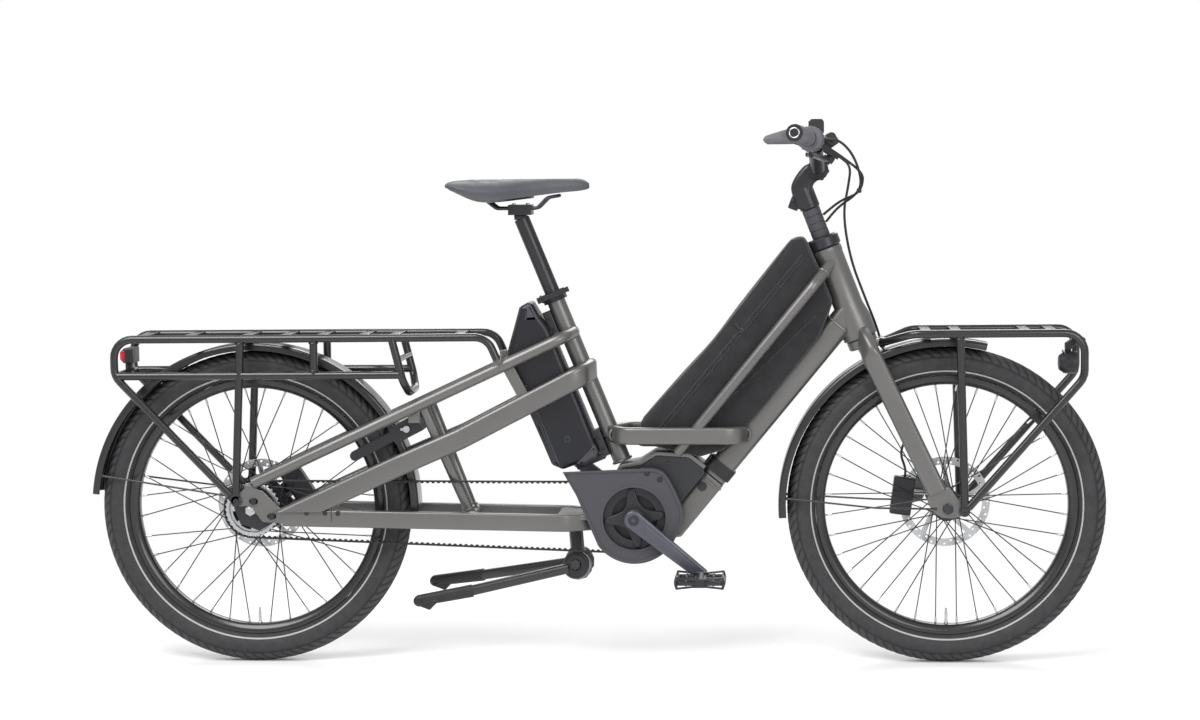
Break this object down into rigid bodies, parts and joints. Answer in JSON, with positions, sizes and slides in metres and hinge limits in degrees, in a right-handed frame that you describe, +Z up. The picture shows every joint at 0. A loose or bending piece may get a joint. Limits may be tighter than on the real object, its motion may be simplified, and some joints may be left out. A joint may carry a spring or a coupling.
{
  "type": "longtail cargo bike",
  "caption": "Electric longtail cargo bike with a low step-through frame, long rear rack, front rack, belt drive, frame bag, rear battery and a two-leg stand.",
  "frame": {"origin": "on the ground under the middle of the bike, where its length and width are halved", "axes": "+X towards the front wheel, +Y to the rider's left, +Z up"},
  "size_m": [2.0213, 0.6666, 1.0801],
  "materials": {
    "frame_paint": "satin metallic warm grey",
    "satin_black": "satin black powder coat",
    "cast_black": "matte black casing",
    "guard_grey": "matte dark grey moulding",
    "battery_shell": "matte dark navy moulding",
    "tyre_rubber": "matte rubber with shallow grooves",
    "grip_rubber": "matte rubber",
    "bare_steel": "brushed",
    "black_alloy": "satin black anodised",
    "bag_cloth": "matte woven cloth",
    "saddle_skin": "matte padded cover",
    "red_lens": "gloss red lens",
    "hose_black": "satin black jacket",
    "belt_rubber": "matte black"
  },
  "bodies": {
    "frame": {"main_frame": "frame_paint", "dropout_right": "satin_black", "dropout_left": "satin_black", "motor_unit": "black_alloy", "motor_cover": "frame_paint", "belt_guard": "guard_grey", "belt": "belt_rubber", "rear_battery": "battery_shell", "battery_mount": "cast_black", "frame_bag": "bag_cloth", "seat_clamp": "black_alloy", "rear_rack": "satin_black", "tail_light": "red_lens", "rear_mudguard": "cast_black", "ring_lock": "cast_black", "kickstand_bracket": "satin_black", "rear_axle": "bare_steel", "rear_caliper": "black_alloy", "headset_cover": "satin_black"},
    "rear_wheel": {"rear_hub": "black_alloy", "rear_rim": "black_alloy", "rear_tyre": "tyre_rubber", "rear_rotor": "bare_steel"},
    "rear_drive": {"rear_sprocket": "bare_steel"},
    "cranks": {"crank_right": "black_alloy", "crank_left": "black_alloy", "belt_ring": "black_alloy"},
    "pedal_r": {"pedal_right": "cast_black"},
    "pedal_l": {"pedal_left": "cast_black"},
    "steering": {"fork": "frame_paint", "front_axle": "bare_steel", "front_caliper": "black_alloy", "front_rack": "satin_black", "front_mudguard": "cast_black", "steerer_spacers": "satin_black", "stem": "black_alloy", "handlebar": "black_alloy", "grip_right": "grip_rubber", "grip_left": "grip_rubber", "brake_perch_right": "black_alloy", "brake_perch_left": "black_alloy", "display": "cast_black", "control_cables": "hose_black", "front_brake_hose": "hose_black"},
    "front_wheel": {"front_hub": "black_alloy", "front_rim": "black_alloy", "front_tyre": "tyre_rubber", "front_rotor": "bare_steel"},
    "headlamp": {"headlight": "cast_black"},
    "stand_r": {"kickstand_leg_right": "satin_black"},
    "stand_l": {"kickstand_leg_left": "satin_black"},
    "lever_r": {"brake_lever_right": "black_alloy"},
    "lever_l": {"brake_lever_left": "black_alloy"},
    "seat": {"seatpost": "black_alloy", "saddle_clamp": "black_alloy", "saddle_rails": "bare_steel", "saddle": "saddle_skin"},
    "seat_quick_lever": {"seat_clamp_lever": "black_alloy"},
    "shifter": {"shift_grip": "grip_rubber"},
    "lock_key": {"lock_barrel": "bare_steel"}
  },
  "joints": [
    {"name": "rear_wheel_spin", "type": "hinge", "parent": "frame", "child": "rear_wheel", "pos_m": [-0.68025, 0, 0.3135], "axis": [0, 1, 0], "continuous": true},
    {"name": "crank_spin", "type": "hinge", "parent": "frame", "child": "cranks", "pos_m": [0.08325, 0, 0.295], "axis": [0, 1, 0], "continuous": true},
    {"name": "rear_sprocket_spin", "type": "hinge", "parent": "frame", "child": "rear_drive", "pos_m": [-0.68025, 0, 0.3135], "axis": [0, 1, 0], "continuous": true},
    {"name": "pedal_right_spin", "type": "hinge", "parent": "cranks", "child": "pedal_r", "pos_m": [0.21537, -0.156, 0.18802], "axis": [0, 1, 0], "continuous": true},
    {"name": "pedal_left_spin", "type": "hinge", "parent": "cranks", "child": "pedal_l", "pos_m": [-0.04886, 0.156, 0.40198], "axis": [0, 1, 0], "continuous": true},
    {"name": "steering_turn", "type": "hinge", "parent": "frame", "child": "steering", "pos_m": [0.49655, 0, 0.736], "axis": [-0.3584, 0, 0.9336], "range_deg": [-60, 60]},
    {"name": "front_wheel_spin", "type": "hinge", "parent": "steering", "child": "front_wheel", "pos_m": [0.69775, 0, 0.3135], "axis": [0, 1, 0], "continuous": true},
    {"name": "headlight_tilt", "type": "hinge", "parent": "steering", "child": "headlamp", "pos_m": [0.93575, 0, 0.626], "axis": [0, 1, 0], "range_deg": [-15, 15]},
    {"name": "kickstand_right_swing", "type": "hinge", "parent": "frame", "child": "stand_r", "pos_m": [-0.03225, -0.034, 0.197], "axis": [-0.2219, -0.9484, 0.2267], "range_deg": [0, 29]},
    {"name": "kickstand_left_swing", "type": "hinge", "parent": "frame", "child": "stand_l", "pos_m": [-0.03225, 0.034, 0.197], "axis": [0.2219, -0.9484, -0.2267], "range_deg": [0, 29]},
    {"name": "brake_lever_right_pull", "type": "hinge", "parent": "steering", "child": "lever_r", "pos_m": [0.47627, -0.136, 1.0082], "axis": [-0.5647, 0, -0.8253], "range_deg": [0, 10], "stiffness_Nm_per_rad": 2, "springref_deg": -17.19},
    {"name": "brake_lever_left_pull", "type": "hinge", "parent": "steering", "child": "lever_l", "pos_m": [0.47627, 0.136, 1.0082], "axis": [0.5647, 0, 0.8253], "range_deg": [0, 10], "stiffness_Nm_per_rad": 2, "springref_deg": -17.19},
    {"name": "seat_height", "type": "slide", "parent": "frame", "child": "seat", "axis": [-0.3746, 0, 0.9272], "range_m": [-0.1, 0.06]},
    {"name": "seat_lever_swing", "type": "hinge", "parent": "frame", "child": "seat_quick_lever", "pos_m": [-0.09938, -0.032, 0.7258], "axis": [0.3746, 0, -0.9272], "range_deg": [0, 150]},
    {"name": "shift_twist", "type": "hinge", "parent": "steering", "child": "shifter", "pos_m": [0.43275, -0.165, 1.0361], "axis": [-0.1895, -0.9797, 0.0647], "range_deg": [-90, 90]},
    {"name": "lock_key_turn", "type": "hinge", "parent": "frame", "child": "lock_key", "pos_m": [-0.3687, -0.06, 0.47225], "axis": [0, 1, 0], "range_deg": [0, 90]}
  ],
  "couplings": [
    {"joint": "rear_sprocket_spin", "follows": "crank_spin", "ratio": 1.25},
    {"joint": "kickstand_left_swing", "follows": "kickstand_right_swing", "ratio": 1}
  ]
}
